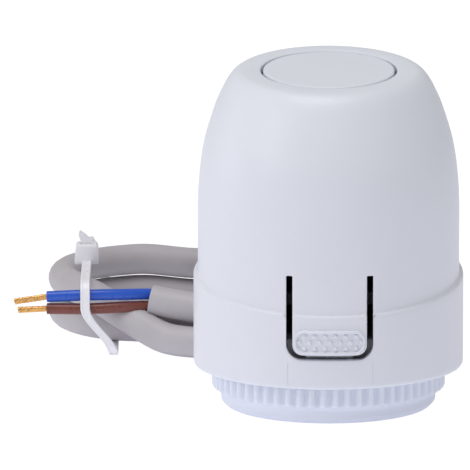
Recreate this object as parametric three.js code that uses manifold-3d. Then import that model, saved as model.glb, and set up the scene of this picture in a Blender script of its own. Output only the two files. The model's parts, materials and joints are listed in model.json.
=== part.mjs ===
// Thermal valve actuator: a domed head on a ribbed M30 x 1.5 adapter ring, with its tied supply lead.
// Millimetres, +Z up along the stroke axis, the release tongue faces -Y, the adapter ring stands on Z = 0.
import * as THREE from "three";
import { mergeVertices } from "three/addons/utils/BufferGeometryUtils.js";
import Module from "manifold-3d";

const wasm = await Module();
wasm.setup();

// Driving dimensions
const GAP = 0.3; // between neighbouring pieces
const SKIRT_R = 22;
const BODY_R = 21.3;
const WALL = 1.6;
const SKIRT_BOTTOM = 6.6;
const STEP_Z = 22.1; // height of the step line at the sides
const TOP_Z = 55.3; // height of the top face on the axis
const DISC_R = 10.7; // position indicator
const DISC_GAP = 0.4;
const TONGUE_HALF = 6; // release tongue
const TONGUE_BOTTOM = 12.3;
const TONGUE_TOP = 24.8;
const SLOT_HALF = 7;
const SLOT_BOTTOM = 11.5;
const PAD_TOP = 16.4;
const RIB_R = 19.1; // adapter ring
const RIB_COUNT = 60;
const NECK_R = 16.8;
const THREAD_BORE_R = 14.3;
const CORD_D = 5.2; // supply lead
const CORD_R = CORD_D / 2;
const CORE_R = 0.95;
const COIL_R = 16; // centre line of the stored coil
const COIL_X = -2.5;
const COIL_Y = 58.2;
const LAYER = 5.4; // height of one layer of the stored lead
const COIL_LAYERS = 4;
const EXIT_ANGLE = 18.5; // of the lead, degrees from straight back towards -X
const EXIT_Z = 20;
const BOOT_END = 39; // distance of the boot's end from the axis
const HANK_TOP = 11.7;

// Slope of the horizontal sections towards the front: the step line and the top face lean forwards.
const SLANT = [[0, 0], [12, 0], [STEP_Z, 0.158], [36, 0.03], [50, 0.105], [70, 0.105]];

function slantAt(z) {
  const i = Math.max(1, SLANT.findIndex(([height]) => height >= z));
  const [z0, s0] = SLANT[i - 1];
  const [z1, s1] = SLANT[i];
  return s0 + ((s1 - s0) * (z - z0)) / (z1 - z0);
}

// Geometry helpers: every helper returns a closed manifold solid.
function solid(geometry) {
  const bare = geometry.index ? geometry.clone() : geometry;
  bare.deleteAttribute("normal");
  bare.deleteAttribute("uv");
  const merged = mergeVertices(bare, 1e-4);
  const vertProperties = Float32Array.from(merged.attributes.position.array);
  const triVerts = Uint32Array.from(merged.index.array);
  const made = new wasm.Manifold(new wasm.Mesh({ numProp: 3, vertProperties, triVerts }));
  if (made.volume() > 0) {
    return made;
  }
  return new wasm.Manifold(new wasm.Mesh({ numProp: 3, vertProperties, triVerts: triVerts.reverse() }));
}

function turned(profile, segments = 40) {
  const points = profile.map(([r, z]) => new THREE.Vector2(r, z));
  if (profile[0][0] > 0 || profile.at(-1)[0] > 0) {
    points.push(points[0].clone());
  }
  return solid(new THREE.LatheGeometry(points, segments).rotateX(Math.PI / 2));
}

// A turned piece whose sections lean forwards with the housing.
function turnedLeaning(profile, segments = 40) {
  const points = profile.map(([r, z]) => new THREE.Vector2(r, z));
  if (profile[0][0] > 0 || profile.at(-1)[0] > 0) {
    points.push(points[0].clone());
  }
  const geometry = new THREE.LatheGeometry(points, segments).rotateX(Math.PI / 2);
  const at = geometry.attributes.position;
  for (let i = 0; i < at.count; i += 1) {
    at.setZ(i, at.getZ(i) + slantAt(at.getZ(i)) * at.getY(i));
  }
  return solid(geometry);
}

function box(x0, x1, y0, y1, z0, z1) {
  const geometry = new THREE.BoxGeometry(x1 - x0, y1 - y0, z1 - z0);
  return solid(geometry.translate((x0 + x1) / 2, (y0 + y1) / 2, (z0 + z1) / 2));
}

function rod(r, z0, z1, x = 0, y = 0, segments = 24) {
  const geometry = new THREE.CylinderGeometry(r, r, z1 - z0, segments).rotateX(Math.PI / 2);
  return solid(geometry.translate(x, y, (z0 + z1) / 2));
}

function plate(shape, z0, z1) {
  const settings = { depth: z1 - z0, bevelEnabled: false, curveSegments: 10 };
  return solid(new THREE.ExtrudeGeometry(shape, settings).translate(0, 0, z0));
}

function roundBar(points, r, sides, steps) {
  const section = new THREE.Shape();
  for (let i = 0; i < sides; i += 1) {
    const angle = (2 * Math.PI * i) / sides;
    section[i ? "lineTo" : "moveTo"](r * Math.cos(angle), r * Math.sin(angle));
  }
  section.closePath();
  const path = new THREE.CatmullRomCurve3(points.map((p) => new THREE.Vector3(...p)));
  return solid(new THREE.ExtrudeGeometry(section, { steps, extrudePath: path, bevelEnabled: false }));
}

function roundedRect(shape, x0, x1, y0, y1, r) {
  shape.moveTo(x0 + r, y0);
  shape.lineTo(x1 - r, y0);
  shape.absarc(x1 - r, y0 + r, r, -Math.PI / 2, 0, false);
  shape.lineTo(x1, y1 - r);
  shape.absarc(x1 - r, y1 - r, r, 0, Math.PI / 2, false);
  shape.lineTo(x0 + r, y1);
  shape.absarc(x0 + r, y1 - r, r, Math.PI / 2, Math.PI, false);
  shape.lineTo(x0, y0 + r);
  shape.absarc(x0 + r, y0 + r, r, Math.PI, 1.5 * Math.PI, false);
  shape.closePath();
  return shape;
}

// A prism through the front wall, drawn as seen from the front (x, z), with round lower corners.
function frontPrism(half, bottom, top, corner) {
  const outline = new THREE.Shape();
  outline.moveTo(-half, top);
  outline.lineTo(-half, bottom + corner);
  outline.absarc(-half + corner, bottom + corner, corner, Math.PI, 1.5 * Math.PI, false);
  outline.lineTo(half - corner, bottom);
  outline.absarc(half - corner, bottom + corner, corner, 1.5 * Math.PI, 2 * Math.PI, false);
  outline.lineTo(half, top);
  outline.closePath();
  const settings = { depth: 12, bevelEnabled: false, curveSegments: 5 };
  const geometry = new THREE.ExtrudeGeometry(outline, settings);
  return solid(geometry.rotateX(Math.PI / 2).translate(0, -15, 0));
}

const group = new THREE.Group();

const FINISH = {
  shell: { color: 0xdadde6, roughness: 0.5, metalness: 0 },
  ring: { color: 0xdde0ee, roughness: 0.45, metalness: 0 },
  inner: { color: 0xb9bcc2, roughness: 0.6, metalness: 0 },
  rubber: { color: 0x2a2a2c, roughness: 0.8, metalness: 0 },
  steel: { color: 0xa8abb0, roughness: 0.35, metalness: 1 },
  brass: { color: 0xc9a24e, roughness: 0.35, metalness: 1 },
  ceramic: { color: 0x4a4744, roughness: 0.7, metalness: 0 },
  cord: { color: 0xb2afb2, roughness: 0.55, metalness: 0 },
  blue: { color: 0x235ad2, roughness: 0.45, metalness: 0 },
  brown: { color: 0x7d3c32, roughness: 0.45, metalness: 0 },
  copper: { color: 0xd7a550, roughness: 0.35, metalness: 1 },
  nylon: { color: 0xe1dee6, roughness: 0.4, metalness: 0 },
};

function piece(name, body, finish, parent = group) {
  const mesh = body.getMesh();
  const geometry = new THREE.BufferGeometry();
  geometry.setAttribute("position", new THREE.BufferAttribute(mesh.vertProperties, 3));
  geometry.setIndex(new THREE.BufferAttribute(mesh.triVerts, 1));
  geometry.computeVertexNormals();
  const made = new THREE.Mesh(geometry, new THREE.MeshStandardMaterial(FINISH[finish]));
  made.name = name;
  parent.add(made);
  return made;
}

// ---- Housing: one moulded shell with the release tongue cut free of its front wall ----
const OUTSIDE = [
  [20.9, SKIRT_BOTTOM], [21.6, 6.75], [SKIRT_R, 7.4], [SKIRT_R, 12], [SKIRT_R, 17], [SKIRT_R, STEP_Z - 0.2],
  [BODY_R, STEP_Z + 0.2], [BODY_R, 28], [BODY_R, 35], [20.95, 38.7], [20.6, 41.7], [20.1, 44.3],
  [19, 47.7], [18.3, 49.7], [17.5, 51.6], [16.6, 53.4], [15.7, 54.6], [14.7, 55.15], [13.8, TOP_Z],
];
const HOLE_R = DISC_R + DISC_GAP;
const INSIDE = [
  [HOLE_R, TOP_Z], [HOLE_R, TOP_Z - WALL], [14.4, TOP_Z - WALL], [15.9, 51.4], [17.4, 47.6], [18.9, 42],
  [BODY_R - WALL, 35], [BODY_R - WALL, STEP_Z], [SKIRT_R - WALL, STEP_Z - 0.6], [SKIRT_R - WALL, 12],
  [SKIRT_R - WALL, SKIRT_BOTTOM],
];
const shell = turnedLeaning([...OUTSIDE, ...INSIDE]);
const exitRadians = (EXIT_ANGLE * Math.PI) / 180;
const exitDirection = new THREE.Vector3(-Math.sin(exitRadians), Math.cos(exitRadians), 0);
// Turns a piece made along +Z about the origin into one that points along the lead's exit.
const exitTurn = new THREE.Quaternion().setFromUnitVectors(new THREE.Vector3(0, 0, 1), exitDirection);

function alongExit(body) {
  const placement = new THREE.Matrix4().makeRotationFromQuaternion(exitTurn).setPosition(0, 0, EXIT_Z);
  return body.transform(placement.elements);
}

const slotWindow = frontPrism(SLOT_HALF, SLOT_BOTTOM, TONGUE_TOP + GAP, 2.4);
const boot = { flangeR: 4.6, neckR: 3.5, holeR: 3.8 };
const bootHole = alongExit(rod(boot.holeR, 17, 26, 0, 0, 20));
piece("outer_housing", shell.subtract(slotWindow).subtract(bootHole), "shell");

// The tongue is pressed in at its pad and bends about its top edge. Its pad stands proud of its face.
const paddedFace = turned([[21.6, PAD_TOP], [23, PAD_TOP], [23, 18.6], [21.6, 18.6]], 48);
const pressRib = box(-4, 4, -20.9, -19.9, 12.8, 14.8).intersect(turned([[0, 12], [21.4, 12], [21.4, 15], [0, 15]]));
const tongueCut = frontPrism(TONGUE_HALF, TONGUE_BOTTOM, TONGUE_TOP, 1.6);
piece("release_tongue", shell.intersect(tongueCut).subtract(paddedFace).add(pressRib), "shell");

// ---- Position indicator in the top face ----
const STEM_BOTTOM = 48.5;
const cap = [
  [0, TOP_Z], [DISC_R - 0.4, TOP_Z], [DISC_R, TOP_Z - 0.4], [DISC_R, 51.7], [9.9, 51.7], [9.9, 53.8], [3.2, 53.8],
  [3.2, STEM_BOTTOM], [0, STEM_BOTTOM],
];
piece("indicator_cap", turnedLeaning(cap), "shell");
const wiper = [[DISC_R + GAP, 52.2], [13.5, 52.2], [13.5, 53.3], [DISC_R + GAP, 53.3]];
piece("indicator_seal", turnedLeaning(wiper, 32), "rubber");

// ---- Chassis: base plate, two posts and the bridge that the wax piston pushes against ----
const CHASSIS_R = SKIRT_R - WALL - GAP;
const SOCKET_R = NECK_R + GAP;
const PLATE_Z = 12;
const PLATE_TOP = 14;
const BUSH_HOLE_R = 6.8;
const BRIDGE_TOP = 28.1;
const POST_X = [12.9, 14.9];
const POST_TOP = 48.3;
const SCREW_X = 13.9;
const basePlate = turned([
  [BUSH_HOLE_R, PLATE_Z], [SOCKET_R, PLATE_Z], [SOCKET_R, 10.7], [CHASSIS_R, 10.7], [CHASSIS_R, PLATE_TOP],
  [BUSH_HOLE_R, PLATE_TOP],
], 48);
let chassis = basePlate.subtract(box(-8, 8, -23, -17, 10, 15));
chassis = chassis.add(box(-POST_X[0] - 0.5, POST_X[0] + 0.5, -4.5, 4.5, 25.3, BRIDGE_TOP));
for (const side of [-1, 1]) {
  const inner = Math.min(side * POST_X[0], side * POST_X[1]);
  chassis = chassis.add(box(inner, inner + 2, -5, 5, PLATE_TOP - 0.5, POST_TOP));
  chassis = chassis.subtract(rod(0.8, 42, 50, side * SCREW_X, 0, 12));
}
piece("chassis", chassis, "inner");
piece("bottom_cover", turned([[SOCKET_R, 7], [CHASSIS_R, 7], [CHASSIS_R, 8.7], [SOCKET_R, 8.7]], 48), "ring");

const retainer = turned([[8.6, POST_TOP + GAP], [15.4, POST_TOP + GAP], [15.4, 49.9], [8.6, 49.9]]);
const retainerHoles = rod(1, 48, 51, SCREW_X, 0, 12).add(rod(1, 48, 51, -SCREW_X, 0, 12));
piece("spring_retainer", retainer.subtract(retainerHoles), "inner");
const screwShape = [[0, 43], [0.5, 43], [0.5, 50.2], [1.3, 50.2], [1.3, 50.9], [0.9, 51.3], [0, 51.3]];
const screw = turned(screwShape, 12);
piece("retainer_screw_left", screw, "steel").position.x = -SCREW_X;
piece("retainer_screw_right", screw, "steel").position.x = SCREW_X;

// ---- Moving carriage: cage round the bridge, wax motor, heater and valve plunger ----
const SHELF = [33.5, 35.3];
const wireX = 8;
let carriage = rod(10.5, 18, 20, 0, 0, 32);
const shelfRing = turned([[6.2, SHELF[0]], [12.3, SHELF[0]], [12.3, SHELF[1]], [6.2, SHELF[1]]]);
carriage = carriage.add(shelfRing.subtract(rod(1, 33, 36, wireX, 0, 12).add(rod(1, 33, 36, -wireX, 0, 12))));
for (const side of [-1, 1]) {
  const inner = Math.min(side * 7.3, side * 9.7);
  carriage = carriage.add(box(-4, 4, inner, inner + 2.4, 19, SHELF[0] + 0.5));
}
piece("carriage", carriage, "inner");

const cartridge = [
  [0, 41], [1.8, 41], [1.8, 29.6], [3.2, 29.6], [3.2, 31.3], [5.9, 31.3], [5.9, 35.6], [6.9, 35.6], [6.9, 37],
  [5.9, 37], [5.9, 43.4], [5.3, 44], [0, 44],
];
piece("wax_cartridge", turned(cartridge, 32), "brass");
piece("wax_piston", turned([[0, BRIDGE_TOP + GAP], [1.5, BRIDGE_TOP + GAP], [1.5, 40.2], [0, 40.7]], 20), "steel");

// Each contact is a disc with a tab out through the cap's side; the tabs pass inside the retainer.
const CONTACT_R = 5.1;
const TAB_END = 8.1;
const TAB_HALF = 1.2;
const lowerTab = box(4.5, TAB_END, -TAB_HALF, TAB_HALF, 44.3, 44.6);
piece("lower_contact", rod(CONTACT_R, 44.3, 44.6).add(lowerTab), "brass");
piece("ptc_heater", rod(4.8, 44.9, 46.2, 0, 0, 32), "ceramic");
const upperTab = box(-TAB_END, -4.5, -TAB_HALF, TAB_HALF, 46.5, 46.8);
piece("upper_contact", rod(CONTACT_R, 46.5, 46.8).add(upperTab), "brass");
const heaterCap = turned([[6.2, 41], [7.1, 41], [7.1, 48.2], [0, 48.2], [0, 47.1], [6.2, 47.1]].reverse(), 32);
const tabSlots = box(5, 9, -1.6, 1.6, 40, 45).add(box(-9, -5, -1.6, 1.6, 40, 47));
piece("heater_cap", heaterCap.subtract(tabSlots), "inner");

const plunger = [[0, 8.6], [3, 8.6], [3.6, 9.2], [3.6, 17.7], [0, 17.7]];
piece("valve_plunger", turned(plunger, 32), "inner");
const bush = [[3.9, 11.7], [6.5, 11.7], [6.5, 14.3], [7.8, 14.3], [7.8, 15.3], [5.9, 15.3], [5.9, 16.4], [3.9, 16.4]];
piece("guide_bush", turned(bush, 32), "brass");
piece("plunger_seal", turned([[3.9, 16.7], [5.6, 16.7], [5.6, 17.6], [3.9, 17.6]], 24), "rubber");

// ---- Return spring between the carriage's shelf and the retainer ----
const SPRING_R = 9.9;
const WIRE_R = 0.7;
const SPRING_TURNS = 4.5;
const springPoints = [];
for (let i = 0; i <= SPRING_TURNS * 12; i += 1) {
  const angle = (2 * Math.PI * i) / 12;
  const low = SHELF[1] + GAP + WIRE_R + 0.05;
  const high = POST_TOP - WIRE_R - 0.05;
  const height = low + ((high - low) * i) / (SPRING_TURNS * 12);
  springPoints.push([SPRING_R * Math.cos(angle), SPRING_R * Math.sin(angle), height]);
}
piece("return_spring", roundBar(springPoints, WIRE_R, 6, SPRING_TURNS * 16), "steel");

// ---- Lock: the slider's rear edge stands in the adapter's groove until the tongue pushes it back ----
const sliderOutline = new THREE.Shape();
sliderOutline.absarc(0, -0.6, 18.9, 0, 2 * Math.PI, false);
const sliderHole = new THREE.Path();
sliderHole.absarc(0, -1.35, 17.35, 0, 2 * Math.PI, true);
sliderOutline.holes.push(sliderHole);
const sliderEar = box(-3.8, 3.8, -19.45, -18.6, 9.6, 14.6);
piece("locking_slider", plate(sliderOutline, 9.1, 10.3).add(sliderEar), "steel");

const adapterProfile = [
  [THREAD_BORE_R + 0.8, 0], [16.5, 0], [17.5, 1], [17.5, 2], [18.5, 3], [18.5, 6.3], [NECK_R, 6.3], [NECK_R, 8.8],
  [15.5, 9], [15.5, 10.4], [NECK_R, 10.6], [16.4, 11.7], [THREAD_BORE_R, 11.7], [THREAD_BORE_R, 0.8],
];
const ribOutline = new THREE.Shape();
for (let i = 0; i < RIB_COUNT * 2; i += 1) {
  const angle = (Math.PI * i) / RIB_COUNT;
  const r = i % 2 ? 18.3 : RIB_R;
  ribOutline[i ? "lineTo" : "moveTo"](r * Math.cos(angle), r * Math.sin(angle));
}
ribOutline.closePath();
const ribHole = new THREE.Path();
ribHole.absarc(0, 0, 16.5, 0, 2 * Math.PI, true);
ribOutline.holes.push(ribHole);
piece("adapter_ring", turned(adapterProfile, 40).add(plate(ribOutline, 3, 6.3)), "ring");

// ---- Supply side: boot, clamp, terminals and inner wires ----
const bootProfile = [
  [0, 18.2], [boot.flangeR, 18.2], [boot.flangeR, 19.4], [boot.neckR, 19.4], [boot.neckR, 22.3], [4.3, 22.3],
  [4.3, 24], [3.1, BOOT_END], [0, BOOT_END],
];
piece("strain_relief", alongExit(turned(bootProfile, 24)), "cord");
const clampFoot = box(-9.6, -2.6, 13.6, 15.6, PLATE_TOP + GAP, 17);
piece("cord_clamp", clampFoot.add(box(-9.6, -8.2, 13.6, 15.6, 16, 23)), "inner");
piece("terminal_block", box(-1.6, 9.4, 12.9, 16.2, PLATE_TOP + GAP, 19).add(box(3.3, 4.5, 12.9, 16.2, 18, 21)), "inner");
const terminalScrew = turned([[0, 19.3], [1.5, 19.3], [1.5, 20.3], [0, 20.3]], 12);
piece("terminal_screw_blue", terminalScrew, "steel").position.set(1.2, 14.6, 0);
piece("terminal_screw_brown", terminalScrew, "steel").position.set(6.6, 14.6, 0);
const WIRE_TOP = 43.7;
for (const [name, side, colour] of [["inner_wire_brown", 1, "brown"], ["inner_wire_blue", -1, "blue"]]) {
  const route = [
    [side * wireX, 0, WIRE_TOP], [side * wireX, 0, 38], [side * wireX, 0, 32.5], [side * 9, 5.2, 29.5],
    [side * 9.5, 9.8, 24], [side * 7.4, 12.6, 22.6], [side > 0 ? 6.6 : 1.2, 14.6, 21.4],
  ];
  piece(name, roundBar(route, 0.5, 6, 18), colour);
}

// ---- The lead: a short run from the boot, a stored coil behind the head, a flat hank on the left ----
const leadEnds = [BOOT_END + GAP, 42.3];
const leadRun = leadEnds.map((distance) => [exitDirection.x * distance, exitDirection.y * distance, EXIT_Z]);
piece("cord_lead", roundBar(leadRun, CORD_R, 10, 2), "cord");
const coilOuter = COIL_R + CORD_R + 0.1;
const coilTop = LAYER * (COIL_LAYERS - 1) + CORD_D + 0.1;
const coilRing = [[COIL_R - CORD_R, 0.05], [coilOuter, 0.05], [coilOuter, coilTop], [COIL_R - CORD_R, coilTop]];
const coil = turned(coilRing, 32).translate([COIL_X, COIL_Y, 0]);
piece("cord_coil", coil, "cord");

const FOLD = { x: -28.3, y: 60, r: 16 + CORD_R + 0.1 }; // left end of the hank
const hankOutline = new THREE.Shape();
hankOutline.absarc(COIL_X, COIL_Y, 24.25, -Math.PI / 2, Math.PI / 2, false);
hankOutline.absarc(FOLD.x, FOLD.y, FOLD.r, Math.PI / 2, Math.PI * 1.1, false);
const nearEdge = [[-43.6, 47.8], [-40.2, 43.1], [-36.2, 39.3], [-31.5, 36.9], [-22.6, 33.2], [-13, 32.8]];
nearEdge.forEach(([x, y]) => hankOutline.lineTo(x, y));
hankOutline.closePath();
const coilHole = new THREE.Path();
coilHole.absarc(COIL_X, COIL_Y, coilOuter + GAP, 0, 2 * Math.PI, true);
hankOutline.holes.push(coilHole);
const TIE_X = [-39.4, -37.2];
const tieGroove = box(TIE_X[0] - GAP, TIE_X[1] + GAP, 30, 82, -1, 1.35);
const coreNotch = box(-50, -29.3, 30, 42, 6.7, 12);
const hank = plate(hankOutline, 0.05, HANK_TOP).subtract(tieGroove).subtract(coreNotch);
piece("cord_hank", hank, "cord");

const coreRoutes = {
  blue: [[-29.6, 40.7, 9.9], [-34, 38.9, 10.2], [-40, 37.9, 10.3], [-46.7, 38.5, 9.9]],
  brown: [[-29.6, 40.3, 7.9], [-33.5, 38.7, 8.1], [-40, 37.7, 8], [-46.7, 38.3, 7.9]],
};
const tipEnds = { blue: [-52.2, 39.3, 8.9], brown: [-51.6, 38.6, 7.6] };
for (const [name, route] of Object.entries(coreRoutes)) {
  piece(`core_${name}`, roundBar(route, CORE_R, 8, 8), name);
  const [x, y, z] = route.at(-1);
  const tip = [[x - GAP, y, z], tipEnds[name]];
  piece(`core_tip_${name}`, roundBar(tip, 0.55, 8, 1), "copper");
}

// One-piece cable tie: band, head and tail.
const bandOutline = roundedRect(new THREE.Shape(), 35.4, 78.2, 0.05, 13, 2.6);
bandOutline.holes.push(roundedRect(new THREE.Path(), 36.4, 77.2, 1, 12.05, 1.8));
const bandSettings = { depth: TIE_X[1] - TIE_X[0], bevelEnabled: false, curveSegments: 4 };
const bandGeometry = new THREE.ExtrudeGeometry(bandOutline, bandSettings).rotateX(Math.PI / 2).rotateZ(Math.PI / 2);
const band = solid(bandGeometry.translate(TIE_X[0], 0, 0));
const head = box(TIE_X[0] - 1.6, TIE_X[1], 53.7, 58.3, 12.4, 15.6);
const tail = box(TIE_X[0] - 1.2, TIE_X[1] - 1.2, 55.5, 56.5, 15.3, 17.3);
piece("cable_tie", band.add(head).add(tail), "nylon");

export default group;
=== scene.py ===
"""Thermal valve actuator with its tied supply lead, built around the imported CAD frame."""
import json
import math

import bmesh
import bpy
from mathutils import Matrix, Vector

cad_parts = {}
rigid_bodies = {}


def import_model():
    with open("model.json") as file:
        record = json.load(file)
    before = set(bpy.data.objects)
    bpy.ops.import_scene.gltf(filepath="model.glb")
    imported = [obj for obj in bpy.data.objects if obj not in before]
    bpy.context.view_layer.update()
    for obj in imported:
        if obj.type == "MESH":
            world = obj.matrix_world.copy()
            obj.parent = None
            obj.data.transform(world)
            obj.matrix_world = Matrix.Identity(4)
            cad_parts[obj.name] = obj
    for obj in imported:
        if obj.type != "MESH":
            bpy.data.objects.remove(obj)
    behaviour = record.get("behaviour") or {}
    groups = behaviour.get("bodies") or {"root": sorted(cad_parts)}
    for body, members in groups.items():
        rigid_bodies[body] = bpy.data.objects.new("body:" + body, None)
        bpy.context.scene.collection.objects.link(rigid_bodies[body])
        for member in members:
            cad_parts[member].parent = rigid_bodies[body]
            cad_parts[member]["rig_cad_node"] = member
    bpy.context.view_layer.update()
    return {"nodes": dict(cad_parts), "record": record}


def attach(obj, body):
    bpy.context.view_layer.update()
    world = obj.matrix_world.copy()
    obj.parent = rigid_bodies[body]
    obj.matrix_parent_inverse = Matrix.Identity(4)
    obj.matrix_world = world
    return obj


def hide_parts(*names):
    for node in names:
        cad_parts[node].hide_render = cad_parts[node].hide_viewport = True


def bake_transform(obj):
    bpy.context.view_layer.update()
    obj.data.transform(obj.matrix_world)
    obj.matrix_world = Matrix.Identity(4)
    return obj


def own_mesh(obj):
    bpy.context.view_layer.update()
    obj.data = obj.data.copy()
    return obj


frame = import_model()

MM = 0.001

# Driving dimensions, in millimetres, the same as the CAD's
SKIRT_R = 22
BODY_R = 21.3
WALL = 1.6
STEP_Z = 22.1
TOP_Z = 55.3
DISC_R = 10.7
DISC_GAP = 0.4
CORD_D = 5.2
CORE_R = 0.95
COIL = Vector((-2.5, 58.2))
COIL_R = 16
COIL_LAYERS = 4
LAYER = 5.4
EXIT_ANGLE = math.radians(18.5)
EXIT_Z = 20
BOOT_END = 39
FLOOR_LAYER = 2.65  # height of the lead's centre line on the floor
HANK_FOLD = Vector((-28.3, 60))
FOLD_R = 16
HANK_END_R = 21.5
TIE_LIFT = 0.95
SLANT = [(0, 0), (12, 0), (STEP_Z, 0.158), (36, 0.03), (50, 0.105), (70, 0.105)]  # (height, slope)


# ---------------------------------------------------------------- camera, light and floor

def add_camera():
    """A long lens a good way off, a little above the head and square to its tongue."""
    elevation = math.radians(11)
    distance = 1.5
    frame_width = 0.0766  # what the picture spans at the head's axis
    aim = Vector((-15.24 * MM, 0, 27.9 * MM))
    data = bpy.data.cameras.new("camera")
    data.sensor_width = 36
    data.lens = data.sensor_width * distance / frame_width
    data.clip_end = 20
    camera = bpy.data.objects.new("camera", data)
    camera.location = aim + distance * Vector((0, -math.cos(elevation), math.sin(elevation)))
    camera.rotation_euler = (math.pi / 2 - elevation, 0, 0)
    bpy.context.scene.collection.objects.link(camera)
    bpy.context.scene.camera = camera


WORLD_LIGHT = 0.375  # what the surroundings give the object
WORLD_SEEN = 1.05  # what the camera sees of them
FLOOR_GLOW = 0.28
FLOOR_SEEN = 1.08
FLOOR_SEEN_SHARE = 0.88  # how far the floor turns to plain white for the camera
LIT_POINT = Vector((0, 0.02, 0.03))


def add_light(name, place, size, power):
    data = bpy.data.lights.new(name, "AREA")
    data.size = size
    data.energy = power
    lamp = bpy.data.objects.new(name, data)
    lamp.location = place
    lamp.rotation_euler = (LIT_POINT - Vector(place)).to_track_quat("-Z", "Y").to_euler()
    bpy.context.scene.collection.objects.link(lamp)


def add_stage():
    bpy.context.scene.view_settings.view_transform = "Standard"
    add_world()
    add_light("key", (-0.754, -0.437, 0.492), 0.32, 1.2)
    add_light("overhead", (-0.12, -0.16, 1.0), 0.6, 4.4)
    add_light("left_fill", (-0.9, 0.2, 0.15), 0.5, 0.7)
    add_floor()


def add_world():
    """One even strength for light and another for what the camera sees."""
    world = bpy.data.worlds.new("studio")
    bpy.context.scene.world = world
    world.use_nodes = True
    nodes = world.node_tree.nodes
    links = world.node_tree.links
    background = nodes["Background"]
    background.inputs["Color"].default_value = (1, 1, 1, 1)
    background.inputs["Strength"].default_value = WORLD_LIGHT
    backdrop = nodes.new("ShaderNodeBackground")
    backdrop.inputs["Strength"].default_value = WORLD_SEEN
    chooser = nodes.new("ShaderNodeMixShader")
    rays = nodes.new("ShaderNodeLightPath")
    links.new(rays.outputs["Is Camera Ray"], chooser.inputs["Fac"])
    links.new(background.outputs[0], chooser.inputs[1])
    links.new(backdrop.outputs[0], chooser.inputs[2])
    links.new(chooser.outputs[0], nodes["World Output"].inputs["Surface"])


def add_floor():
    """A pale floor that still takes a faint shadow where the camera sees it."""
    mesh = bpy.data.meshes.new("floor")
    half = 3
    corners = [(-half, -half, 0), (half, -half, 0), (half, half, 0), (-half, half, 0)]
    mesh.from_pydata(corners, [], [(0, 1, 2, 3)])
    floor = bpy.data.objects.new("floor", mesh)
    bpy.context.scene.collection.objects.link(floor)
    paint = bpy.data.materials.new("floor")
    paint.use_nodes = True
    nodes = paint.node_tree.nodes
    links = paint.node_tree.links
    shader = nodes["Principled BSDF"]
    shader.inputs["Base Color"].default_value = (0.88, 0.88, 0.92, 1)
    shader.inputs["Roughness"].default_value = 0.9
    shader.inputs["Emission Color"].default_value = (0.9, 0.92, 1, 1)
    shader.inputs["Emission Strength"].default_value = FLOOR_GLOW
    seen = nodes.new("ShaderNodeLightPath")
    glow = nodes.new("ShaderNodeEmission")
    glow.inputs["Strength"].default_value = FLOOR_SEEN
    mixer = nodes.new("ShaderNodeMixShader")
    share = nodes.new("ShaderNodeMath")
    share.operation = "MULTIPLY"
    share.inputs[1].default_value = FLOOR_SEEN_SHARE
    links.new(seen.outputs["Is Camera Ray"], share.inputs[0])
    links.new(share.outputs[0], mixer.inputs["Fac"])
    links.new(shader.outputs["BSDF"], mixer.inputs[1])
    links.new(glow.outputs["Emission"], mixer.inputs[2])
    links.new(mixer.outputs[0], nodes["Material Output"].inputs["Surface"])
    mesh.materials.append(paint)


add_camera()
add_stage()


# ---------------------------------------------------------------- materials

GRAIN_DEPTH = 0.05  # millimetres
MIDDLE_OF_NOISE = (0.3, 0.7)


def tint(colour, factor):
    return tuple(min(1, c * factor) for c in colour) + (1,)


def procedural(name, colour, roughness, grain, bump, metallic=0.0, spread=0.06, mottle=90):
    """A principled material: soft colour mottling, uneven gloss and a fine bump of the given grain."""
    made = bpy.data.materials.new(name)
    made.use_nodes = True
    nodes = made.node_tree.nodes
    links = made.node_tree.links
    shader = nodes["Principled BSDF"]
    shader.inputs["Metallic"].default_value = metallic
    where = nodes.new("ShaderNodeTexCoord")

    def noise(scale, detail):
        field = nodes.new("ShaderNodeTexNoise")
        field.inputs["Scale"].default_value = scale
        field.inputs["Detail"].default_value = detail
        links.new(where.outputs["Object"], field.inputs["Vector"])
        return field

    def ramp(source, low, high):
        band = nodes.new("ShaderNodeMapRange")
        band.inputs["To Min"].default_value = low
        band.inputs["To Max"].default_value = high
        band.inputs["From Min"].default_value = MIDDLE_OF_NOISE[0]
        band.inputs["From Max"].default_value = MIDDLE_OF_NOISE[1]
        links.new(source.outputs["Fac"], band.inputs["Value"])
        return band

    clouds = noise(mottle, 3)
    blend = nodes.new("ShaderNodeMix")
    blend.data_type = "RGBA"
    blend.inputs["A"].default_value = tint(colour, 1 - spread)
    blend.inputs["B"].default_value = tint(colour, 1 + spread * 0.5)
    links.new(ramp(clouds, 0, 1).outputs["Result"], blend.inputs["Factor"])
    links.new(blend.outputs["Result"], shader.inputs["Base Color"])
    fine = noise(grain, 2)
    gloss = ramp(fine, roughness * 0.85, min(1, roughness * 1.15))
    links.new(gloss.outputs["Result"], shader.inputs["Roughness"])
    relief = nodes.new("ShaderNodeBump")
    relief.inputs["Strength"].default_value = bump
    relief.inputs["Distance"].default_value = GRAIN_DEPTH * MM
    links.new(fine.outputs["Fac"], relief.inputs["Height"])
    links.new(relief.outputs["Normal"], shader.inputs["Normal"])
    return made


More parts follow.
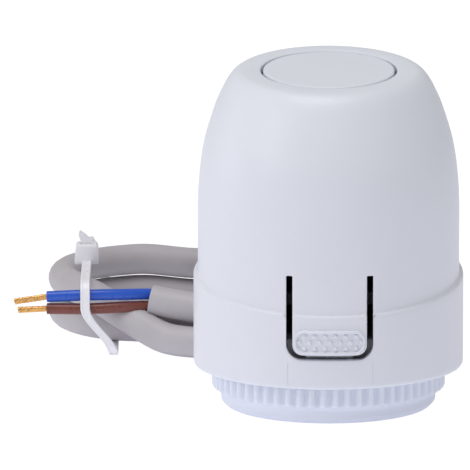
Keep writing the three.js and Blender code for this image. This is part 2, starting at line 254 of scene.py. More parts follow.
MATERIALS = {
    "housing_white": procedural("housing_white", (0.785, 0.805, 0.875), 0.40, 2600, 0.55, spread=0.012),
    # ring_white: the ring's own off-white, made lighter and bluer with painted bounce light from the floor
    # below
    "ring_white": procedural("ring_white", (0.85, 0.88, 0.98), 0.34, 1900, 0.2, spread=0.015),
    "inner_grey": procedural("inner_grey", (0.50, 0.52, 0.56), 0.5, 1500, 0.2),
    "seal_rubber": procedural("seal_rubber", (0.02, 0.02, 0.022), 0.75, 3000, 0.5),
    "steel": procedural("steel", (0.62, 0.63, 0.65), 0.3, 4000, 0.2, metallic=1.0),
    "brass": procedural("brass", (0.78, 0.56, 0.25), 0.3, 3000, 0.2, metallic=1.0),
    "ceramic": procedural("ceramic", (0.10, 0.09, 0.085), 0.7, 5000, 0.5),
    "cord_grey": procedural("cord_grey", (0.50, 0.475, 0.50), 0.48, 1400, 0.35, spread=0.05, mottle=140),
    "core_blue": procedural("core_blue", (0.02, 0.105, 0.60), 0.3, 900, 0.15, spread=0.1, mottle=300),
    "core_brown": procedural("core_brown", (0.20, 0.055, 0.04), 0.3, 900, 0.15, spread=0.12, mottle=300),
    "copper": procedural("copper", (0.86, 0.52, 0.20), 0.28, 5000, 0.3, metallic=1.0, spread=0.1, mottle=600),
    "tie_nylon": procedural("tie_nylon", (0.90, 0.89, 0.93), 0.32, 1200, 0.2, spread=0.03),
}


# ---------------------------------------------------------------- mesh helpers (millimetres in, metres out)

def place(name, mesh, slot, body, *replaced):
    """Links a finished mesh or curve as a piece in its slot's material. It rides on its body, if it has one."""
    made = bpy.data.objects.new(name, mesh)
    bpy.context.scene.collection.objects.link(made)
    mesh.materials.clear()
    mesh.materials.append(MATERIALS[slot])
    if body:
        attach(made, body)
    if replaced:
        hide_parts(*replaced)
    return made


def lean(z):
    """How far a level section at height z slopes down towards the front."""
    for (z0, s0), (z1, s1) in zip(SLANT, SLANT[1:]):
        if z <= z1:
            return s0 + (s1 - s0) * max(0, z - z0) / (z1 - z0)
    return SLANT[-1][1]


def leaning(point):
    x, y, z = point
    return (x, y, z + lean(z) * y)


def corner(before, at, after, radius, count=4):
    """A profile's corner rounded by an arc-like curve of about that radius."""
    b, p, a = Vector(before), Vector(at), Vector(after)
    start = p + (b - p).normalized() * radius
    stop = p + (a - p).normalized() * radius
    points = []
    for i in range(count + 1):
        t = i / count
        points.append(tuple(start * (1 - t) ** 2 + p * (2 * t * (1 - t)) + stop * t * t))
    return points


def build(name, verts, faces, sharp=35):
    """A mesh from millimetre points, smooth but for edges sharper than the given angle."""
    mesh = bpy.data.meshes.new(name)
    mesh.from_pydata([Vector(v) * MM for v in verts], [], faces)
    return soften(mesh, sharp)


def soften(mesh, sharp=35):
    work = bmesh.new()
    work.from_mesh(mesh)
    bmesh.ops.remove_doubles(work, verts=work.verts, dist=1e-7)
    bmesh.ops.recalc_face_normals(work, faces=work.faces)
    limit = math.radians(sharp)
    for face in work.faces:
        face.smooth = True
    for edge in work.edges:
        edge.smooth = len(edge.link_faces) == 2 and edge.calc_face_angle(0) < limit
    work.to_mesh(mesh)
    work.free()
    return mesh


def turned(name, profile, segments=128, shape=None, sharp=35):
    """A profile of (radius, height) turned about Z, its ends on the axis closed; shape moves each point."""
    on_axis = profile[0][0] < 1e-6 and profile[-1][0] < 1e-6
    verts = []
    faces = []
    rows = len(profile)
    for j in range(segments):
        angle = 2 * math.pi * j / segments
        for r, z in profile:
            point = (r * math.cos(angle), r * math.sin(angle), z)
            verts.append(shape(point) if shape else point)
    spans = rows - 1 if on_axis else rows
    for j in range(segments):
        here = j * rows
        there = (j + 1) % segments * rows
        for i in range(spans):
            k = (i + 1) % rows
            face = [here + i, here + k, there + k, there + i]
            if on_axis and i == 0:
                face = [here, here + k, there + k]
            elif on_axis and i == spans - 1:
                face = [here + i, here + k, there + i]
            faces.append(face)
    if on_axis:
        for j in range(1, segments):
            verts[j * rows] = verts[0]
            verts[j * rows + rows - 1] = verts[rows - 1]
    return build(name, verts, faces, sharp)


def prism(name, outline, z0, z1, turn=None):
    """An outline of (x, y) pulled from z0 to z1."""
    n = len(outline)
    verts = [(x, y, z0) for x, y in outline] + [(x, y, z1) for x, y in outline]
    faces = [list(range(n))[::-1], list(range(n, 2 * n))]
    faces += [[i, (i + 1) % n, n + (i + 1) % n, n + i] for i in range(n)]
    if turn:
        verts = [turn(v) for v in verts]
    return build(name, verts, faces)


def boolean(mesh, cutters, operation="DIFFERENCE"):
    """The mesh with each cutter mesh taken away from it or joined to it."""
    body = bpy.data.objects.new("work", mesh)
    bpy.context.scene.collection.objects.link(body)
    tools = []
    for cutter in cutters:
        tool = bpy.data.objects.new("cutter", cutter)
        bpy.context.scene.collection.objects.link(tool)
        tools.append(tool)
        change = body.modifiers.new("cut", "BOOLEAN")
        change.solver = "EXACT"
        change.operation = operation
        change.object = tool
    return applied(body, tools)


def applied(body, tools=()):
    """The body's mesh with its modifiers applied; the body and its tools are removed."""
    bpy.context.view_layer.update()
    graph = bpy.context.evaluated_depsgraph_get()
    made = bpy.data.meshes.new_from_object(body.evaluated_get(graph))
    for used in [body, *tools]:
        bpy.data.objects.remove(used)
    return made


def bevelled(mesh, width, segments=2, angle=50):
    body = bpy.data.objects.new("work", mesh)
    bpy.context.scene.collection.objects.link(body)
    change = body.modifiers.new("bevel", "BEVEL")
    change.width = width * MM
    change.segments = segments
    change.limit_method = "ANGLE"
    change.angle_limit = math.radians(angle)
    change.use_clamp_overlap = False
    return applied(body)


def u_shape(half, bottom, top, radius, steps=8):
    """The outline of a U as seen from the front, left top round to right top."""
    points = [(-half, top)]
    for side, first in ((-1, math.pi), (1, 1.5 * math.pi)):
        centre = (side * (half - radius), bottom + radius)
        for i in range(steps + 1):
            angle = first + math.pi / 2 * i / steps
            points.append((centre[0] + radius * math.cos(angle), centre[1] + radius * math.sin(angle)))
    points.append((half, top))
    return points


# ---------------------------------------------------------------- housing and tongue

SLOT = {"half": 7.0, "bottom": 11.5, "top": 25.1, "radius": 2.4}
TONGUE = {"half": 6.0, "bottom": 12.3, "radius": 1.6}
FRONT_Y = -15  # what lies past it is the front wall
PRESS_RIB = {"half": 4, "bottom": 12.9, "top": 14.8, "outer": -20.6, "inner": -20.05}


def shell_profile():
    """The shell's closed profile, from the skirt's lip up the outside, over the top and down the inside."""
    skirt = [(20.5, 6.6)] + corner((20.5, 6.6), (SKIRT_R, 6.6), (SKIRT_R, 12), 0.9)
    skirt += [(SKIRT_R, z) for z in (9, 11, 13, 15, 17, 19, 20.6)]
    step = [(SKIRT_R, 21.6), (SKIRT_R - 0.07, 21.87), (BODY_R + 0.02, 22.12)]
    body = [(BODY_R, z) for z in (23.5, 25, 27, 29, 31, 33)]
    dome_keys = [(BODY_R, 31), (BODY_R - 0.02, 34.5), (20.98, 38.7), (20.6, 41.7), (20.05, 44.4)]
    dome_keys += [(19.05, 47.7), (18.35, 49.7), (17.5, 51.6), (16.6, 53.3)]
    dome_keys += [(15.6, 54.55), (14.6, 55.15), (13.6, TOP_Z)]
    dome = [(p[0], p[1]) for p in smooth([(r, z, 0) for r, z in dome_keys], 4)][5:]
    edge = DISC_R + DISC_GAP
    rim = corner((13, TOP_Z), (edge, TOP_Z), (edge, 54), 0.3)
    inside = [(edge, TOP_Z - WALL), (14.4, TOP_Z - WALL)]
    inside += [(15.9, 51.4), (17.4, 47.6), (18.9, 42), (19.5, 38)]
    inside += [(BODY_R - WALL, z) for z in (35, 31, 27, 24, STEP_Z)]
    inside += [(SKIRT_R - WALL, z) for z in (STEP_Z - 0.6, 19, 16, 13, 10, 7)]
    return skirt + step + body + dome + rim + inside + [(SKIRT_R - WALL, 6.6)]


def front_turn(point):
    """From an outline drawn as seen from the front to the front wall."""
    x, z, depth = point
    return (x, depth, z)


def u_slot():
    """The slot that frees the tongue: the space between two U shapes."""
    outer = u_shape(SLOT["half"], SLOT["bottom"], SLOT["top"], SLOT["radius"])
    inner = u_shape(TONGUE["half"], TONGUE["bottom"], SLOT["top"], TONGUE["radius"])
    return prism("slot", outer + inner[::-1], -24, -17, front_turn)


def boot_hole():
    tool = turned("boot_hole", [(0, 17), (3.8, 17), (3.8, 26), (0, 26)], 48)
    tool.transform(exit_frame())
    return tool


def exit_frame():
    """Turns what is made along +Z about the origin to lie along the lead's way out."""
    way = Vector((-math.sin(EXIT_ANGLE), math.cos(EXIT_ANGLE), 0))
    turn = Vector((0, 0, 1)).rotation_difference(way).to_matrix().to_4x4()
    return Matrix.Translation((0, 0, EXIT_Z * MM)) @ turn


def fine_line(x0, x1, z0, z1, depth=0.05):
    """A shallow moulding line in the front wall."""
    radius = SKIRT_R - depth
    y0 = -math.sqrt(radius ** 2 - max(abs(x0), abs(x1)) ** 2)
    outline = [(x0, z0), (x1, z0), (x1, z1), (x0, z1)]
    return prism("line", outline, -24, y0, front_turn)


def thumb_pad():
    """The raised pad on the tongue: a rounded rim round a field of staggered dots, bent to the skirt."""
    half, low, high, radius = 5.85, 12.42, 16.5, 1.75
    rim, rim_height, field_height, dot_r, dot_height = 0.42, 0.62, 0.16, 0.37, 0.42
    dots = []
    pitch, shift = 1.67, 0.1
    for count, height in ((6, 15.5), (7, 14.46), (6, 13.44)):
        dots += [((i - (count - 1) / 2) * pitch + shift, height) for i in range(count)]
    middle = (low + high) / 2
    nu, nv = 156, 58
    verts = []
    for i in range(nu + 1):
        for j in range(nv + 1):
            u = -half + 2 * half * i / nu
            v = low + (high - low) * j / nv
            du = max(0, abs(u) - (half - radius))
            dv = max(0, abs(v - middle) - ((high - low) / 2 - radius))
            inside = radius - math.hypot(du, dv)
            if inside < 0 and du > 0 and dv > 0:
                scale = radius / math.hypot(du, dv)
                u = math.copysign(half - radius + du * scale, u)
                v = middle + math.copysign((high - low) / 2 - radius + dv * scale, v - middle)
                inside = 0
            edge = min(1, max(0, inside) / 0.3)
            height = rim_height * math.sqrt(1 - (1 - edge) ** 2)
            fall = min(1, max(0, (inside - rim) / 0.25))
            height += (field_height - rim_height) * fall * fall * (3 - 2 * fall)
            for x, z in dots:
                away = math.hypot(u - x, v - z) / dot_r
                if away < 1:
                    height = max(height, field_height + dot_height * math.sqrt(1 - away ** 2) - 0.02)
            reach = SKIRT_R - 0.12 + height
            verts.append((reach * math.sin(u / SKIRT_R), -reach * math.cos(u / SKIRT_R), v))
    front = len(verts)
    for i in range(nu + 1):
        for j in range(nv + 1):
            x, y, z = verts[i * (nv + 1) + j]
            length = math.hypot(x, y)
            back = SKIRT_R - 0.7
            verts.append((x * back / length, y * back / length, z))
    faces = []
    for i in range(nu):
        for j in range(nv):
            a = i * (nv + 1) + j
            quad = [a, a + nv + 1, a + nv + 2, a + 1]
            faces.append(quad)
            faces.append([front + k for k in quad[::-1]])
    ring = [i * (nv + 1) for i in range(nu)] + [nu * (nv + 1) + j for j in range(nv)]
    ring += [i * (nv + 1) + nv for i in range(nu, 0, -1)] + [j for j in range(nv, 0, -1)]
    for a, b in zip(ring, ring[1:] + ring[:1]):
        faces.append([b, a, front + a, front + b])
    return build("pad", verts, faces, 60)


def in_tongue(point):
    """Whether a point of the wall lies inside the middle line of the U-shaped slot, below its top."""
    across, height = abs(point.x) / MM, point.z / MM
    middle = {key: (SLOT[key] + TONGUE[key]) / 2 for key in ("half", "bottom", "radius")}
    if point.y > FRONT_Y * MM or height > SLOT["top"] + 1e-3:
        return False
    if across > middle["half"] or height < middle["bottom"]:
        return False
    over = across - (middle["half"] - middle["radius"])
    under = middle["bottom"] + middle["radius"] - height
    return over <= 0 or under <= 0 or math.hypot(over, under) < middle["radius"]


def split_off(mesh, keep):
    """The part of the mesh whose faces pass the test, with what it was cut from closed."""
    work = bmesh.new()
    work.from_mesh(mesh)
    centres = [(f, f.calc_center_median()) for f in work.faces]
    near = [f for f, c in centres if abs(c.x) < 9 * MM and c.y < FRONT_Y * MM]
    near += list({e for f in near for e in f.edges}) + list({v for f in near for v in f.verts})
    bmesh.ops.bisect_plane(work, geom=near, dist=1e-7, plane_co=(0, 0, SLOT["top"] * MM), plane_no=(0, 0, 1))
    away = [f for f in work.faces if not keep(f.calc_center_median())]
    bmesh.ops.delete(work, geom=away, context="FACES")
    open_edges = [e for e in work.edges if e.is_boundary]
    if open_edges:
        bmesh.ops.holes_fill(work, edges=open_edges, sides=0)
    out = bpy.data.meshes.new("part")
    work.to_mesh(out)
    work.free()
    return out


def joined(name, *meshes):
    work = bmesh.new()
    for mesh in meshes:
        work.from_mesh(mesh)
    out = bpy.data.meshes.new(name)
    work.to_mesh(out)
    work.free()
    return out


def housing_and_tongue():
    shell = turned("shell", shell_profile(), 192, leaning)
    cut = bevelled(boolean(shell, [u_slot(), boot_hole()]), 0.16)
    lines = [fine_line(x - 0.07, x + 0.07, 6, SLOT["bottom"] - 0.55) for x in (-6.75, 6.95)]
    cut = boolean(cut, lines)
    housing = soften(split_off(cut, lambda p: not in_tongue(p)), 40)
    tongue_wall = soften(split_off(cut, in_tongue), 40)
    half, low, high = PRESS_RIB["half"], PRESS_RIB["bottom"], PRESS_RIB["top"]
    outline = [(-half, low), (half, low), (half, high), (-half, high)]
    rib = prism("rib", outline, PRESS_RIB["outer"], PRESS_RIB["inner"], front_turn)
    tongue = joined("release_tongue_fine", tongue_wall, thumb_pad(), rib)
    place("housing_shell", housing, "housing_white", "housing", "outer_housing")
    flap = place("release_flap", tongue, "housing_white", None, "release_tongue")
    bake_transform(flap)


def indicator():
    profile = [(0, TOP_Z)] + [(r, TOP_Z) for r in (3, 6, 9, 10)]
    profile += corner((9, TOP_Z), (DISC_R, TOP_Z), (DISC_R, 52), 0.35)
    profile += [(DISC_R, 51.7), (9.9, 51.7), (9.9, 53.8), (3.2, 53.8), (3.2, 48.5), (0, 48.5)]
    disc = turned("indicator_disc", profile, 160, leaning)
    place("indicator_disc", disc, "housing_white", "carriage", "indicator_cap")


# ---------------------------------------------------------------- adapter ring

RIB_COUNT = 60
RIB_HALF_SHARE = 0.34  # of a rib's pitch, that half a rib takes up
RIB_DEPTH = 0.95
THREAD_PITCH = 1.5
THREAD_DEPTH = 0.46


def adapter():
    """The ribbed ring: rounded ribs over a plain bevelled rim outside, the M30 x 1.5 thread inside."""
    per_rib = 12
    segments = RIB_COUNT * per_rib
    outside = [(15.3, 0), (16.1, 0)] + corner((15.3, 0), (16.6, 0), (17.5, 0.9), 0.3, 2)
    outside += corner((16.6, 0), (17.5, 0.9), (17.5, 2), 0.3, 2)
    outside += corner((17.5, 1), (17.5, 2.2), (18.1, 2.8), 0.2, 2)
    foot = ((3.0, 0.55), (3.12, 0.8), (3.35, 0.96), (3.6, 1.0))
    ribs = [(18.1, 2.92, 0.0)] + [(18.12, z, share) for z, share in foot]
    ribs += [(18.12, z, 1.0) for z in (4.2, 5.0, 5.8, 6.1)] + [(18.12, 6.25, 0.9), (18.0, 6.3, 0.0)]
    neck = [(16.8, 6.3), (16.8, 8.8), (15.5, 9), (15.5, 10.4), (16.8, 10.6), (16.8, 11.4), (16.5, 11.7)]
    bore = [(14.9, 11.7)]
    top, low = 11.0, 0.9
    count = 54
    thread = [(14.25, top - (top - low) * i / count) for i in range(count + 1)]
    rows = [(r, z, 0, 0) for r, z in outside] + [(r, z, w, 0) for r, z, w in ribs]
    rows += [(r, z, 0, 0) for r, z in neck + bore] + [(r, z, 0, 1) for r, z in thread]
    verts = []
    for j in range(segments):
        angle = 2 * math.pi * j / segments
        across = ((j % per_rib) - per_rib / 2) / (per_rib * RIB_HALF_SHARE)
        swell = math.sqrt(max(0, 1 - across ** 2))
        for r, z, rib, threaded in rows:
            reach = r + RIB_DEPTH * rib * swell
            if threaded:
                phase = (z / THREAD_PITCH - j / segments) % 1
                fade = min(1, (top - z) / 1.0, (z - low) / 1.0)
                reach += fade * THREAD_DEPTH * (1 - abs(2 * phase - 1)) ** 1.1
            verts.append((reach * math.cos(angle), reach * math.sin(angle), z))
    n = len(rows)
    faces = []
    for j in range(segments):
        here = j * n
        there = (j + 1) % segments * n
        faces += [[here + i, here + (i + 1) % n, there + (i + 1) % n, there + i] for i in range(n)]
    ring = build("threaded_ring", verts, faces, 50)
    place("threaded_ring", ring, "ring_white", "adapter", "adapter_ring")


# ---------------------------------------------------------------- pieces seen from below and inside

INNER_GAP = 0.3  # between the shell and what it holds


def chassis():
    """Base plate with its rim, two posts and the bridge that the wax piston pushes against."""
    rim = SKIRT_R - WALL - INNER_GAP
    profile = [(6.8, 12), (16.9, 12), (17.1, 11.8), (17.1, 10.7), (rim - 0.2, 10.7), (rim, 10.9)]
    profile += [(rim, 13.8), (rim - 0.2, 14), (6.8, 14)]
    plate = turned("plate", profile, 96)
    plate = boolean(plate, [prism("notch", [(-8, -23), (8, -23), (8, -17), (-8, -17)], 10, 15)])
    frame_parts = [prism("bridge", [(-13.4, -4.5), (13.4, -4.5), (13.4, 4.5), (-13.4, 4.5)], 25.3, 28.1)]
    for side in (-1, 1):
        x0, x1 = sorted((side * 12.9, side * 14.9))
        frame_parts.append(prism("post", [(x0, -5), (x1, -5), (x1, 5), (x0, 5)], 13.5, 48.3))
    made = boolean(plate, frame_parts, "UNION")
    bore = [(0, 42), (0.8, 42), (0.8, 50), (0, 50)]
    made = boolean(made, [turned_at("bore", bore, side * 13.9) for side in (-1, 1)])
    place("chassis_frame", soften(bevelled(made, 0.12, 2, 50), 40), "inner_grey", "housing", "chassis")


def turned_at(name, profile, x, y=0, segments=24):
    mesh = turned(name, profile, segments)
    mesh.transform(Matrix.Translation((x * MM, y * MM, 0)))
    return mesh


def small_turned_pieces():
    rim = SKIRT_R - WALL - INNER_GAP
    cover = [(17.1, 7.15), (17.25, 7), (rim - 0.15, 7), (rim, 7.15), (rim, 8.55), (rim - 0.15, 8.7)]
    cover += [(17.25, 8.7), (17.1, 8.55)]
    plunger = [(0, 8.75), (1.6, 8.75), (1.8, 8.6), (2.8, 8.6), (3.1, 8.7), (3.5, 9.1), (3.6, 9.4)]
    plunger += [(3.6, 17.7), (0, 17.7)]
    bush = [(3.9, 11.9), (4.1, 11.7), (6.3, 11.7), (6.5, 11.9), (6.5, 14.3), (7.7, 14.3), (7.8, 14.4)]
    bush += [(7.8, 15.2), (7.7, 15.3), (5.9, 15.3), (5.9, 16.3), (5.8, 16.4), (3.9, 16.4)]
    seal = [(3.9, 16.8), (4.0, 16.7), (5.5, 16.7), (5.6, 16.8), (5.6, 17.5), (5.5, 17.6), (4.0, 17.6)]
    seal += [(3.9, 17.5)]
    inner = DISC_R + 0.3
    wiper = [(inner, 52.4), (DISC_R + 0.5, 52.2), (13.3, 52.2), (13.5, 52.4), (13.5, 53.1), (13.3, 53.3)]
    wiper += [(DISC_R + 0.5, 53.3), (inner, 53.1)]
    place("cover_ring", turned("cover_ring", cover, 96), "ring_white", "housing", "bottom_cover")
    place("plunger_rod", turned("plunger_rod", plunger, 64), "inner_grey", "carriage", "valve_plunger")
    place("bush", turned("bush", bush, 64), "brass", "housing", "guide_bush")
    place("rod_seal", turned("rod_seal", seal, 48), "seal_rubber", "housing", "plunger_seal")
    place("disc_wiper", turned("disc_wiper", wiper, 96, leaning), "seal_rubber", "housing", "indicator_seal")


def spring():
    """The return spring, with its end turns closed."""
    radius, wire, low, high, turns = 9.9, 0.7, 36.35, 47.55, 5.5
    per_turn = 32
    steps = int(turns * per_turn)
    line = []
    for i in range(steps + 1):
        gone = i / per_turn
        middle = min(1, max(0, (gone - 0.75) / (turns - 1.5)))
        height = low + (high - low) * middle
        angle = 2 * math.pi * gone
        line.append((radius * math.cos(angle), radius * math.sin(angle), height))
    curve = bpy.data.objects.new("work", round_line("spring", line, wire, 4))
    bpy.context.scene.collection.objects.link(curve)
    coil = place("spring_coil", applied(curve), "steel", "housing", "return_spring")
    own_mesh(coil)


# ---------------------------------------------------------------- the supply lead

def exit_point(distance, height):
    return (-distance * math.sin(EXIT_ANGLE), distance * math.cos(EXIT_ANGLE), height)


def arc(centre, radius, start, stop, count, height):
    """Points along a level arc, clockwise from start to stop degrees."""
    points = []
    for i in range(count):
        angle = math.radians(start + (stop - start) * i / (count - 1))
        points.append((centre.x + radius * math.cos(angle), centre.y + radius * math.sin(angle), height))
    return points


def coil_turns():
    """The stored turns: level rings on each other, each dropping to the next over its last sixth."""
    points = []
    steps = 16
    start = 180 + math.degrees(EXIT_ANGLE)
    travel = 360 * (COIL_LAYERS - 1) + start + 90
    count = int(travel / 360 * steps)
    for i in range(count + 1):
        gone = travel * i / count
        part = max(0, gone % 360 - 300) / 60
        drop = int(gone // 360) + part * part * (3 - 2 * part)
        angle = math.radians(start - gone)
        height = FLOOR_LAYER + LAYER * max(0, COIL_LAYERS - 1 - drop)
        points.append((COIL.x + COIL_R * math.cos(angle), COIL.y + COIL_R * math.sin(angle), height))
    return points


def lead_route():
    """From inside the boot, round the stored coil, then twice round the flat hank to the cut jacket."""
    first = FLOOR_LAYER
    second = FLOOR_LAYER + LAYER
    tied = first + TIE_LIFT
    route = [exit_point(d, EXIT_Z) for d in (31, 35, 39, 43)]
    route += [exit_point(47.5, EXIT_Z - 0.2), exit_point(52, EXIT_Z - 0.8)]
    route += coil_turns()
    route += [(-8, 41.6, first), (-13, 41.3, first), (-18, 41.6, first), (-23, 42.6, first)]
    route += arc(HANK_FOLD, FOLD_R, 262, 98, 11, tied)
    route += [(-22, 76.9, first), (-15, 78.2, first), (-9, 79.2, first)]
    route += arc(COIL, HANK_END_R, 88, -86, 11, first)
    route += [(-8, 36.0, first), (-13, 35.6, first), (-18, 35.6, first), (-22.6, 36.0, first)]
    route += [(-27, 37.5, 3.1), (-31, 39.2, 4.9), (-34.6, 41.7, 6.7), (-38, 45, 8.2), (-41, 49, 8.9)]
    route += arc(HANK_FOLD, FOLD_R, 200, 98, 8, tied + LAYER)
    route += [(-22, 76.9, second), (-15, 78.2, second), (-9, 79.2, second)]
    route += arc(COIL, HANK_END_R, 88, -86, 11, second)
    route += [(-8, 37.6, 7.9), (-14, 38.4, 7.6), (-20, 39.0, 7.7), (-25, 39.8, 8.2), (-29.3, 40.6, 8.9)]
    return route


def smooth(points, per_span=6):
    """A centripetal Catmull-Rom line through the points."""
    pts = [Vector(p) for p in points]
    line = [2 * pts[0] - pts[1]] + pts + [2 * pts[-1] - pts[-2]]
    out = []
    for i in range(1, len(line) - 2):
        p0, p1, p2, p3 = line[i - 1:i + 3]
        t1 = max((p1 - p0).length, 1e-6) ** 0.5
        t2 = t1 + (p2 - p1).length ** 0.5
        t3 = t2 + (p3 - p2).length ** 0.5
        for k in range(per_span):
            t = t1 + (t2 - t1) * k / per_span
            a1 = p0 * (t1 - t) / t1 + p1 * t / t1
            a2 = p1 * (t2 - t) / (t2 - t1) + p2 * (t - t1) / (t2 - t1)
            a3 = p2 * (t3 - t) / (t3 - t2) + p3 * (t - t2) / (t3 - t2)
            b1 = a1 * (t2 - t) / t2 + a2 * t / t2
            b2 = a2 * (t3 - t) / (t3 - t1) + a3 * (t - t1) / (t3 - t1)
            out.append(b1 * (t2 - t) / (t2 - t1) + b2 * (t - t1) / (t2 - t1))
    out.append(pts[-1])
    return out


def round_line(name, line, radius, resolution=8):
    """A curve of one open spline with a round section and flat ends."""
    curve = bpy.data.curves.new(name, "CURVE")
    curve.dimensions = "3D"
    spline = curve.splines.new("POLY")
    spline.points.add(len(line) - 1)
    for point, place_mm in zip(spline.points, line):
        point.co = (*(Vector(place_mm) * MM), 1)
    curve.bevel_depth = radius * MM
    curve.bevel_resolution = resolution
    curve.use_fill_caps = True
    spline.use_smooth = True
    return curve


# ---------------------------------------------------------------- boot, cores, copper ends and tie

CORE_ROUTES = {
    "blue": [(-28.6, 41.0, 9.75), (-29.6, 40.7, 9.9), (-34, 38.9, 10.2), (-40, 37.9, 10.3),
             (-46.7, 38.5, 9.9)],
    "brown": [(-28.6, 40.6, 7.8), (-29.6, 40.3, 7.9), (-33.5, 38.7, 8.1), (-40, 37.7, 8),
              (-46.7, 38.3, 7.9)],
}
TIP_ENDS = {"blue": (-52.2, 39.3, 8.9), "brown": (-51.6, 38.6, 7.6)}


def boot():
    """The lead's boot: a collar held in the wall, then a taper with grooves so that it bends, and a bore."""
    profile = [(2.7, 18.2), (4.5, 18.2), (4.6, 18.3), (4.6, 19.4), (3.5, 19.4), (3.5, 22.3)]
    profile += corner((3.5, 22.3), (4.3, 22.3), (4.3, 24), 0.3)
    grooves, groove_pitch = 6, 2.2
    for i in range(grooves):
        z = 25 + i * groove_pitch
        r = 4.3 - 1.2 * (z - 24) / 15
        profile += [(r, z), (r - 0.1, z + 0.1), (r - 0.55, z + 0.2), (r - 0.55, z + 0.8), (r - 0.12, z + 0.9)]
        profile += [(r - 0.08, z + 1.0)]
    profile += [(3.15, 38.6), (3.05, BOOT_END), (2.7, BOOT_END), (2.7, 30)]
    mesh = turned("cord_boot", profile, 64)
    mesh.transform(exit_frame())
    return place("cord_boot", mesh, "cord_grey", "housing", "strain_relief")


def strands(name, start, end, count=7, wire=0.17, turns=1.6):
    """A stripped end: fine wires twisted round one another, opening a little at the tip."""
    a, b = Vector(start), Vector(end)
    way = (b - a).normalized()
    side = way.cross(Vector((0, 0, 1))).normalized()
    up = side.cross(way)
    curve = bpy.data.curves.new(name, "CURVE")
    curve.dimensions = "3D"
    steps = 22
    for k in range(count):
        spline = curve.splines.new("POLY")
        spline.points.add(steps)
        for i in range(steps + 1):
            t = i / steps
            reach = 0 if k == 0 else 0.36 + 0.1 * max(0, t - 0.75)
            angle = 2 * math.pi * (k / (count - 1) + turns * t)
            short = 0.03 * ((k * 3) % 5) / 4
            at = a + (b - a) * (t * (1 - short))
            at += reach * (math.cos(angle) * side + math.sin(angle) * up)
            spline.points[i].co = (*(at * MM), 1)
        spline.use_smooth = True
    curve.bevel_depth = wire * MM
    curve.bevel_resolution = 3
    curve.use_fill_caps = True
    return curve


def cores():
    made = []
    for name, route in CORE_ROUTES.items():
        core = round_line(f"{name}_core", smooth(route, 8), CORE_R, 6)
        made.append(place(f"{name}_core", core, f"core_{name}", "housing", f"core_{name}"))
        end, tip = Vector(route[-1]), Vector(TIP_ENDS[name])
        inside = end - (tip - end).normalized() * 0.8
        wires = strands(f"{name}_strands", inside, tip)
        made.append(place(f"{name}_strands", wires, "copper", "housing", f"core_tip_{name}"))
    return made


TIE_TOP_X = -40.3  # centre of the band at its top
TIE_FOOT_X = -35.6


def tie_x(y, z):
    """In front the band runs straight down, then sweeps to the right under the bundle; behind it only leans."""
    t = min(1, max(0, (8.5 - z) / 8))
    front = min(1, max(0, (66 - y) / 20))
    sweep = front * t * t * (3 - 2 * t) + (1 - front) * (12.5 - z) / 12
    return TIE_TOP_X + (TIE_FOOT_X - TIE_TOP_X) * sweep


TIE_HEAD_Y = 56


def tie_band():
    """The flat band round the bundle, a rounded rectangle seen along X, with a toothed channel outside."""
    half, thick, radius, step = 0.8, 0.85, 2.2, 0.7
    low_y, high_y, low_z, high_z = 35.9, 77.75, 0.5, 12.55
    path = []
    for cy, cz, first in ((high_y - radius, low_z + radius, -90), (high_y - radius, high_z - radius, 0),
                          (low_y + radius, high_z - radius, 90), (low_y + radius, low_z + radius, 180)):
        for i in range(7):
            angle = math.radians(first + 15 * i)
            outward = (math.cos(angle), math.sin(angle))
            path.append(((cy + radius * outward[0], cz + radius * outward[1]), outward))
    dense = []
    for (p, n), (q, m) in zip(path, path[1:] + path[:1]):
        count = max(1, round(math.hypot(q[0] - p[0], q[1] - p[1]) / step))
        for i in range(count):
            t = i / count
            dense.append(((p[0] + (q[0] - p[0]) * t, p[1] + (q[1] - p[1]) * t),
                          (n[0] + (m[0] - n[0]) * t, n[1] + (m[1] - n[1]) * t)))
    section = [(-half, -0.3), (-half + 0.12, -0.5), (half - 0.12, -0.5), (half, -0.3), (half, 0.3)]
    section += [(half - 0.12, 0.5), (0.45, 0.5), (0.4, 0.36), (-0.4, 0.36), (-0.45, 0.5)]
    section += [(-half + 0.12, 0.5), (-half, 0.3)]
    verts = []
    for k, ((y, z), (ny, nz)) in enumerate(dense):
        tooth = 0.1 * (k % 2)
        for x, out in section:
            out = out * thick + (tooth if abs(x) <= 0.4 and out > 0 else 0)
            verts.append((tie_x(y, z) + x, y + ny * out, z + nz * out))
    n = len(section)
    faces = []
    for k in range(len(dense)):
        here = k * n
        there = (k + 1) % len(dense) * n
        faces += [[here + i, here + (i + 1) % n, there + (i + 1) % n, there + i] for i in range(n)]
    return build("band", verts, faces, 50)


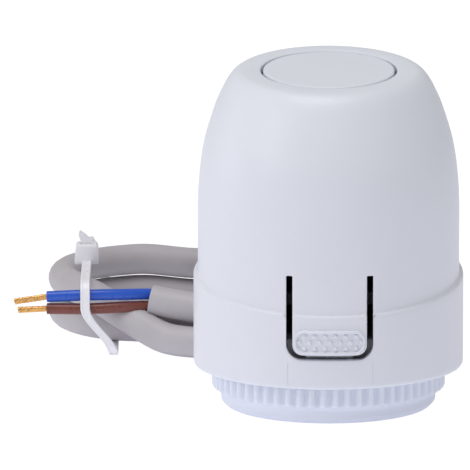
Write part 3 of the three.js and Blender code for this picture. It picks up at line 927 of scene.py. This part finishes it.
def tie_head():
    """The locking head on top of the band, with its window."""
    outline = [(-2, 12.35), (2, 12.35), (2.05, 12.8), (1.9, 15.2), (1.55, 15.6), (-1.55, 15.6)]
    outline += [(-1.9, 15.2), (-2.05, 12.8)]
    block = prism("head", outline, TIE_HEAD_Y - 2.2, TIE_HEAD_Y + 2.2,
                  lambda v: (v[0] + TIE_TOP_X, v[2], v[1]))
    window = prism("window", [(-0.95, -0.62), (0.95, -0.62), (0.95, 0.62), (-0.95, 0.62)], 14.2, 16.2,
                   lambda v: (v[0] + TIE_TOP_X, v[1] + TIE_HEAD_Y, v[2]))
    return soften(bevelled(boolean(block, [window]), 0.22, 2, 30), 30)


def tie_tail():
    """The cut end of the band, bending over as it leaves the head."""
    rows = [(0, 13.6, 0.8), (0.05, 15.4, 0.8), (-0.25, 16.2, 0.8), (-0.75, 17.0, 0.62), (-1.2, 17.7, 0.12)]
    verts = []
    for x, z, width in rows:
        for sx, sy in ((-1, -1), (1, -1), (1, 1), (-1, 1)):
            verts.append((TIE_TOP_X + x + sx * width, TIE_HEAD_Y + sy * 0.42, z + 0.1 * sx * (z > 16)))
    faces = [[0, 1, 2, 3], [len(verts) - 1 - i for i in range(4)]]
    for k in range(len(rows) - 1):
        here = 4 * k
        faces += [[here + i, here + (i + 1) % 4, here + 4 + (i + 1) % 4, here + 4 + i] for i in range(4)]
    return build("tail", verts, faces, 30)


def tie():
    """A one-piece nylon tie: flat band with fine teeth, locking head and cut tail."""
    mesh = joined("nylon_tie", tie_band(), tie_head(), tie_tail())
    return place("nylon_tie", mesh, "tie_nylon", "housing", "cable_tie")


# ---------------------------------------------------------------- the cord first, then the other pieces

lead_curve = round_line("supply_lead", smooth(lead_route()), CORD_D / 2)
lead = place("supply_lead", lead_curve, "cord_grey", "housing", "cord_lead", "cord_coil", "cord_hank")
tied_pieces = [boot(), *cores(), tie()]

housing_and_tongue()
indicator()
adapter()
chassis()
small_turned_pieces()
spring()

for node in frame["nodes"].values():
    node.data.materials.clear()
    slot = next(p["material_slot"] for p in frame["record"]["subparts"] if p["node"] == node["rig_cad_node"])
    node.data.materials.append(MATERIALS[slot])
